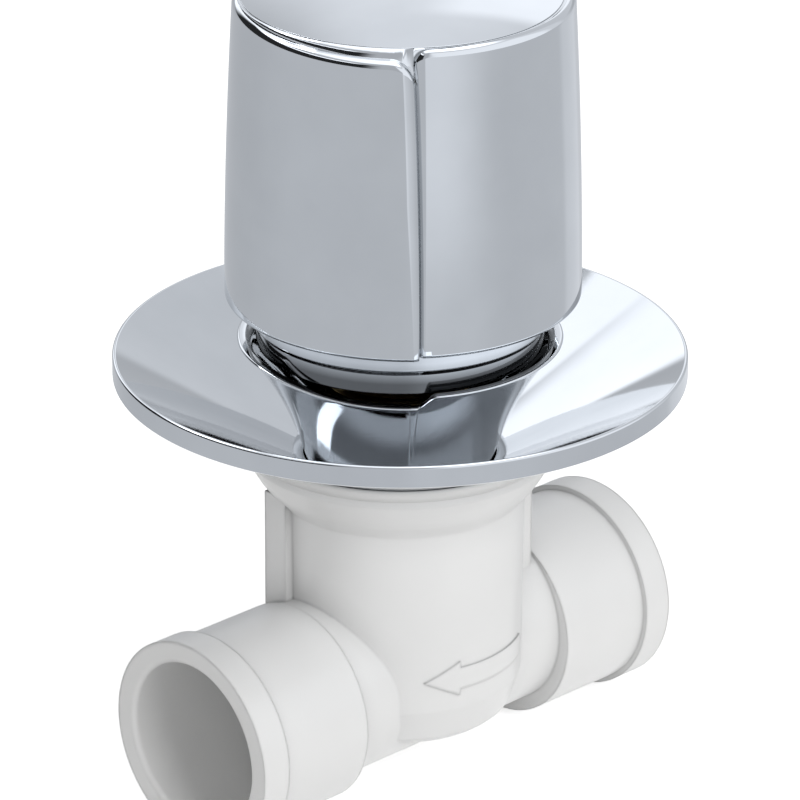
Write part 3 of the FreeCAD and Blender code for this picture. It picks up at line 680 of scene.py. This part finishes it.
# Headwork: spindle, bonnet, gland and jumper turned from brass bar, dull where the lathe left fine rings.
# The bonnet screws into the body and carries the spindle, which lifts the jumper off its seat.
BRASS_SHADES = ((0.60, 0.43, 0.18), (0.71, 0.54, 0.27))
BRASS_ROUGHNESS = (0.22, 0.40)
BRASS_RING_DEPTH = 0.00001
BRASS_POCKET_REACH = 0.012
BRASS_POCKET_SHADE = 0.02
brass, nodes, links, shader = new_material("turned_brass")
tone = object_noise(nodes, links, scale=150.0)
shade_between(nodes, links, tone, BRASS_SHADES, shader.inputs["Base Color"])
# Painted shade: the brass colour is darkened almost to black in its deep pockets, where shade falls.
pocket_shade(nodes, links, shader.inputs["Base Color"], BRASS_POCKET_REACH, BRASS_POCKET_SHADE)
shader.inputs["Metallic"].default_value = 1.0
rings = object_noise(nodes, links, scale=30.0, detail=5.0, stretch=(1, 1, 90))
number_between(nodes, links, rings, BRASS_ROUGHNESS, shader.inputs["Roughness"])
relief(nodes, links, rings, BRASS_RING_DEPTH, shader)
dress(["seat_ring", "disc_holder", "washer_nut", "bonnet", "spindle", "gland_washer", "gland_nut"], brass)

# Thread on the bonnet's long tube: one ridge rolled in the brass, 1.5 mm pitch.
# The collar's moulded sleeve screws on it and pulls the plate to the wall.
THREAD_PITCH = 0.0015
THREAD_TURNS = 10
THREAD_RADIUS = 0.01085
THREAD_RIDGE = 0.00027
THREAD_START = 0.0465
THREAD_STEPS = 48
THREAD_SIDES = 6


def thread_tree():
    """Ridge that winds round the tube."""
    tree, nodes, links, given = new_tree("wound_thread", (
        ("Turns", "NodeSocketFloat"),
        ("Radius", "NodeSocketFloat"),
        ("Length", "NodeSocketFloat"),
        ("Ridge", "NodeSocketFloat"),
        ("Start", "NodeSocketVector"),
        ("Finish", "NodeSocketMaterial"),
    ))
    winding = nodes.new("GeometryNodeCurveSpiral")
    winding.inputs["Resolution"].default_value = THREAD_STEPS
    links.new(given["Turns"], winding.inputs["Rotations"])
    links.new(given["Radius"], winding.inputs["Start Radius"])
    links.new(given["Radius"], winding.inputs["End Radius"])
    links.new(given["Length"], winding.inputs["Height"])
    ridge = nodes.new("GeometryNodeCurvePrimitiveCircle")
    ridge.inputs["Resolution"].default_value = THREAD_SIDES
    links.new(given["Ridge"], ridge.inputs["Radius"])
    swept = nodes.new("GeometryNodeCurveToMesh")
    swept.inputs["Fill Caps"].default_value = True
    links.new(winding.outputs["Curve"], swept.inputs["Curve"])
    links.new(ridge.outputs["Curve"], swept.inputs["Profile Curve"])
    placed = nodes.new("GeometryNodeTransform")
    links.new(swept.outputs["Mesh"], placed.inputs["Geometry"])
    links.new(given["Start"], placed.inputs["Translation"])
    end_tree(nodes, links, given, placed.outputs["Geometry"])
    return tree


thread = new_object("bonnet_thread", bpy.data.meshes.new("bonnet_thread"))
grow(thread, thread_tree(), {
    "Turns": float(THREAD_TURNS),
    "Radius": THREAD_RADIUS,
    "Length": THREAD_PITCH * THREAD_TURNS,
    "Ridge": THREAD_RIDGE,
    "Start": (0.0, 0.0, THREAD_START),
    "Finish": brass,
})
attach(thread, "root")

# Rubber parts: seat washer, bonnet seal, spindle ring and the friction ring in the plate's hub.
# Black moulded nitrile with a dull, faintly grained skin.


def grained(name, grain, shades, roughness, depth=0.0, metallic=0.0):
    """Material whose colour, gloss and relief follow one grain of (scale, detail, stretch)."""
    material, nodes, links, shader = new_material(name)
    noise = object_noise(nodes, links, *grain)
    shade_between(nodes, links, noise, shades, shader.inputs["Base Color"])
    number_between(nodes, links, noise, roughness, shader.inputs["Roughness"])
    shader.inputs["Metallic"].default_value = metallic
    if depth:
        relief(nodes, links, noise, depth, shader)
    return material


rubber = grained(
    "black_rubber",
    grain=(1200.0, 5.0),
    shades=((0.012, 0.012, 0.013), (0.03, 0.03, 0.03)),
    roughness=(0.55, 0.75),
    depth=0.00002,
)
dress(["seat_washer", "body_seal", "spindle_ring", "hub_ring"], rubber)

# Gland packing: soft ring of plaited white fibre, cut to length and laid round the spindle.
# The gland nut presses it tight through the thin washer.
packing = grained(
    "white_packing",
    grain=(500.0, 6.0, (1, 1, 4)),
    shades=((0.55, 0.53, 0.47), (0.78, 0.76, 0.70)),
    roughness=(0.7, 0.9),
    depth=0.00005,
)
dress(["gland_packing"], packing)

# Plastic parts: the collar's threaded sleeve, the knob's core and the bush on the splines.
# Moulded in matt white acetal with the fine texture of a spark-eroded mould.
acetal = grained(
    "white_acetal",
    grain=(1500.0, 4.0),
    shades=((0.70, 0.70, 0.67), (0.76, 0.76, 0.73)),
    roughness=(0.45, 0.6),
    depth=0.00001,
)
dress(["collar_insert", "handle_core", "spline_adaptor"], acetal)

# Handle screw: stainless steel with a slotted cheese head.
# It pulls the core down on the spindle.
steel = grained(
    "stainless_steel",
    grain=(60.0, 5.0, (1, 12, 1)),
    shades=((0.48, 0.48, 0.47), (0.60, 0.60, 0.59)),
    roughness=(0.25, 0.38),
    metallic=1.0,
)
dress(["handle_screw"], steel)

# Studio: white floor and surroundings, with three large soft lamps round the object.
# Glowing cards that only polished metal sees make a dome and a ring on the floor, their brightness set by
# direction.
FLOOR_HALF = 6.0
FLOOR_WHITE = 0.92
FLOOR_LIFT = 0.62
SURROUND_LIGHT = 0.34
VIEW_TURN = math.radians(-43.97)
LAMP_AIM = Vector((0, 0, 0.06))
CARD_NEAR = 0.11
CARD_FAR = 3.0
CARD_LIFT = 0.0005
CARD_TINT = (0.965, 1.0, 1.06)
FLOOR_DARK = 0.60
SKY_SIDES = (0.66, 1.0)
SKY_SIDE_TURNS = (20, 110)
SKY_TOP = 1.9
SKY_TOP_TURNS = (0, 90)
SKY_TOP_RISES = (54, 68)
# Each row: brightness, edges of the turn to the right of the camera, edges of the rise, all in degrees.
SKY_PATCHES = (
    (1.12, (165, 178, 182, 195), (0, 14, 46, 60)),
    (0.86, (121, 129, 163, 171), (-6, 4, 52, 62)),
    (1.45, (160, 165, 175, 180), (15, 19, 31, 35)),
    (0.62, (130, 150, 210, 230), (-15, -11, 11, 15)),
    (1.65, (-166, -162, -130, -126), (10, 13, 51, 54)),
    (9.00, (-131, -129, -107, -105), (40, 43, 61, 64)),
    (0.03, (-148, -134, -30, -16), (-16, -14, 38, 40)),
    (2.40, (-134, -122, -42, -30), (38, 39.2, 42.8, 44)),
    (1.35, (10, 22, 102, 114), (-32, -24, 48, 56)),
)
# Each row: brightness, edges of the turn in degrees, edges of the distance in metres.
FLOOR_PATCHES = (
    (0.75, (-170, -60, 180, 181), (-1, 0, 9, 10)),
    (0.81, (-3, 8, 40, 70), (-1, 0, 9, 10)),
    (1.05, (-2, 10, 22, 60), (0.20, 0.36, 9, 10)),
    (0.86, (119, 127, 147, 155), (-1, 0, 9, 10)),
    (0.66, (150, 165, 180, 181), (-1, 0, 9, 10)),
)


def seen_directly(nodes, links):
    """One where the camera, a reflection or a clear material looks at the surface, else nought."""
    path = nodes.new("ShaderNodeLightPath")
    seen = path.outputs["Is Camera Ray"]
    for ray in ("Is Glossy Ray", "Is Transmission Ray"):
        either = nodes.new("ShaderNodeMath")
        either.operation = "MAXIMUM"
        links.new(seen, either.inputs[0])
        links.new(path.outputs[ray], either.inputs[1])
        seen = either.outputs["Value"]
    return seen


white_floor, nodes, links, shader = new_material("white_floor")
white_floor.cycles.emission_sampling = "NONE"
shader.inputs["Base Color"].default_value = (FLOOR_WHITE, FLOOR_WHITE, FLOOR_WHITE, 1)
shader.inputs["Roughness"].default_value = 1.0
shader.inputs["Specular IOR Level"].default_value = 0.0
shader.inputs["Emission Color"].default_value = (1, 1, 1, 1)
lift = nodes.new("ShaderNodeMath")
lift.operation = "MULTIPLY"
lift.inputs[1].default_value = FLOOR_LIFT
links.new(seen_directly(nodes, links), lift.inputs[0])
links.new(lift.outputs["Value"], shader.inputs["Emission Strength"])
mesh = bpy.data.meshes.new("floor")
corners = [(-1, -1), (1, -1), (1, 1), (-1, 1)]
mesh.from_pydata([(x * FLOOR_HALF, y * FLOOR_HALF, 0.0) for x, y in corners], [], [(0, 1, 2, 3)])
mesh.materials.append(white_floor)
floor = new_object("floor", mesh)

world = bpy.data.worlds.new("studio")
bpy.context.scene.world = world
world.use_nodes = True
nodes, links = world.node_tree.nodes, world.node_tree.links
surround = nodes["Background"]
surround.inputs["Color"].default_value = (1, 1, 1, 1)
level = remap(nodes, links, seen_directly(nodes, links), (0.0, 1.0), (SURROUND_LIGHT, 1.0))
links.new(level, surround.inputs["Strength"])


def direction(turn, rise):
    """Unit vector by the turn to the right of the camera and the rise from the floor, in degrees."""
    turn = VIEW_TURN + math.radians(turn)
    rise = math.radians(rise)
    return Vector((math.sin(turn) * math.cos(rise), -math.cos(turn) * math.cos(rise), math.sin(rise)))


def soft_lamp(name, turn, rise, distance, size, power):
    """Large square lamp that faces the object and shows in no reflection."""
    lamp = bpy.data.lights.new(name, "AREA")
    lamp.shape = "SQUARE"
    lamp.size = size
    lamp.energy = power
    holder = new_object(name, lamp)
    holder.location = LAMP_AIM + distance * direction(turn, rise)
    holder.rotation_euler = (LAMP_AIM - holder.location).to_track_quat("-Z", "Y").to_euler()
    holder.visible_glossy = False


soft_lamp("key", turn=42, rise=28, distance=1.6, size=0.9, power=12.0)
soft_lamp("fill", turn=-10, rise=20, distance=1.8, size=1.0, power=4.5)
soft_lamp("back", turn=-170, rise=45, distance=1.8, size=1.2, power=3.5)


def smooth_step(value, low, high):
    """Soft step from nought to one between two values."""
    share = min(max((value - low) / (high - low), 0.0), 1.0)
    return share * share * (3 - 2 * share)


def band(value, edges):
    """One inside a band of values, with soft sides between its outer and inner edges."""
    start, full, fading, end = edges
    return smooth_step(value, start, full) * (1 - smooth_step(value, fading, end))


def sky_tone(turn, rise):
    """Brightness of the surrounding glowing dome. A patch behind the object goes on past the half turn."""
    tone = mix(*SKY_SIDES, smooth_step(turn, *SKY_SIDE_TURNS))
    top = SKY_TOP + smooth_step(turn, *SKY_TOP_TURNS)
    tone = mix(tone, top, smooth_step(rise, *SKY_TOP_RISES))
    for brightness, turns, rises in SKY_PATCHES:
        across = max(band(turn, turns), band(turn + 360, turns))
        tone = mix(tone, brightness, across * band(rise, rises))
    return tone


def floor_tone(turn, distance):
    """Brightness of the glowing card round the foot."""
    tone = FLOOR_DARK
    for brightness, turns, distances in FLOOR_PATCHES:
        tone = mix(tone, brightness, band(turn, turns) * band(distance, distances))
    return tone


def card(name, rows, columns, place, tone):
    """Glowing card, seen only in reflections on polished metal. It neither lights the object nor shows
    itself.
    """
    glow_card, nodes, links, shader = new_material(name)
    glow_card.cycles.emission_sampling = "NONE"
    shader.inputs["Base Color"].default_value = (0, 0, 0, 1)
    shader.inputs["Specular IOR Level"].default_value = 0.0
    shader.inputs["Emission Strength"].default_value = 1.0
    glow_colour = nodes.new("ShaderNodeVertexColor")
    glow_colour.layer_name = "tone"
    links.new(glow_colour.outputs["Color"], shader.inputs["Emission Color"])
    vertices = []
    tones = []
    for row in range(rows + 1):
        for column in range(columns + 1):
            turn = -180 + 360 * column / columns
            vertices.append(place(turn, row / rows))
            level = tone(turn, row / rows)
            tones += [level * tint for tint in CARD_TINT] + [1.0]
    faces = []
    for row in range(rows):
        for column in range(columns):
            first = row * (columns + 1) + column
            faces.append((first, first + 1, first + columns + 2, first + columns + 1))
    mesh = bpy.data.meshes.new(name)
    mesh.from_pydata(vertices, [], faces)
    mesh.materials.append(glow_card)
    mesh.color_attributes.new("tone", "FLOAT_COLOR", "POINT").data.foreach_set("color", tones)
    held = new_object(name, mesh)
    held.visible_camera = False
    held.visible_diffuse = False
    held.visible_shadow = False
    held.visible_transmission = False


def floor_distance(share):
    """Distance of the floor's glowing card from the axis, close rows near the foot."""
    return CARD_NEAR * (CARD_FAR / CARD_NEAR) ** share


def floor_place(turn, share):
    """Point of the glowing card on the floor."""
    return floor_distance(share) * direction(turn, 0) + Vector((0, 0, CARD_LIFT))


def sky_place(turn, share):
    """Point of the glowing dome."""
    return CARD_FAR * direction(turn, 90 * share)


card("floor_glow", rows=60, columns=180, place=floor_place,
     tone=lambda turn, share: floor_tone(turn, floor_distance(share)))
card("sky_glow", rows=120, columns=240, place=sky_place,
     tone=lambda turn, share: sky_tone(turn, 90 * share))

# Camera: stands where the photograph was taken from, with a long lens.
# It looks down a little on the middle of the object and is rolled by a fifth of a degree.
VIEW_RISE = 23.738
VIEW_ROLL = math.radians(0.213)
VIEW_DISTANCE = 0.82612
VIEW_TARGET = Vector((0, 0, 0.05833))
back = direction(0, VIEW_RISE)
lens = bpy.data.cameras.new("camera")
lens.lens = 252.0
lens.sensor_width = 36.0
lens.clip_start = 0.01
camera = new_object("camera", lens)
camera.location = VIEW_TARGET + VIEW_DISTANCE * back
camera.rotation_mode = "QUATERNION"
camera.rotation_quaternion = (-back).to_track_quat("-Z", "Y") @ Quaternion((0, 0, 1), VIEW_ROLL)
bpy.context.scene.camera = camera
bpy.context.scene.view_settings.view_transform = "Standard"

bpy.context.view_layer.update()
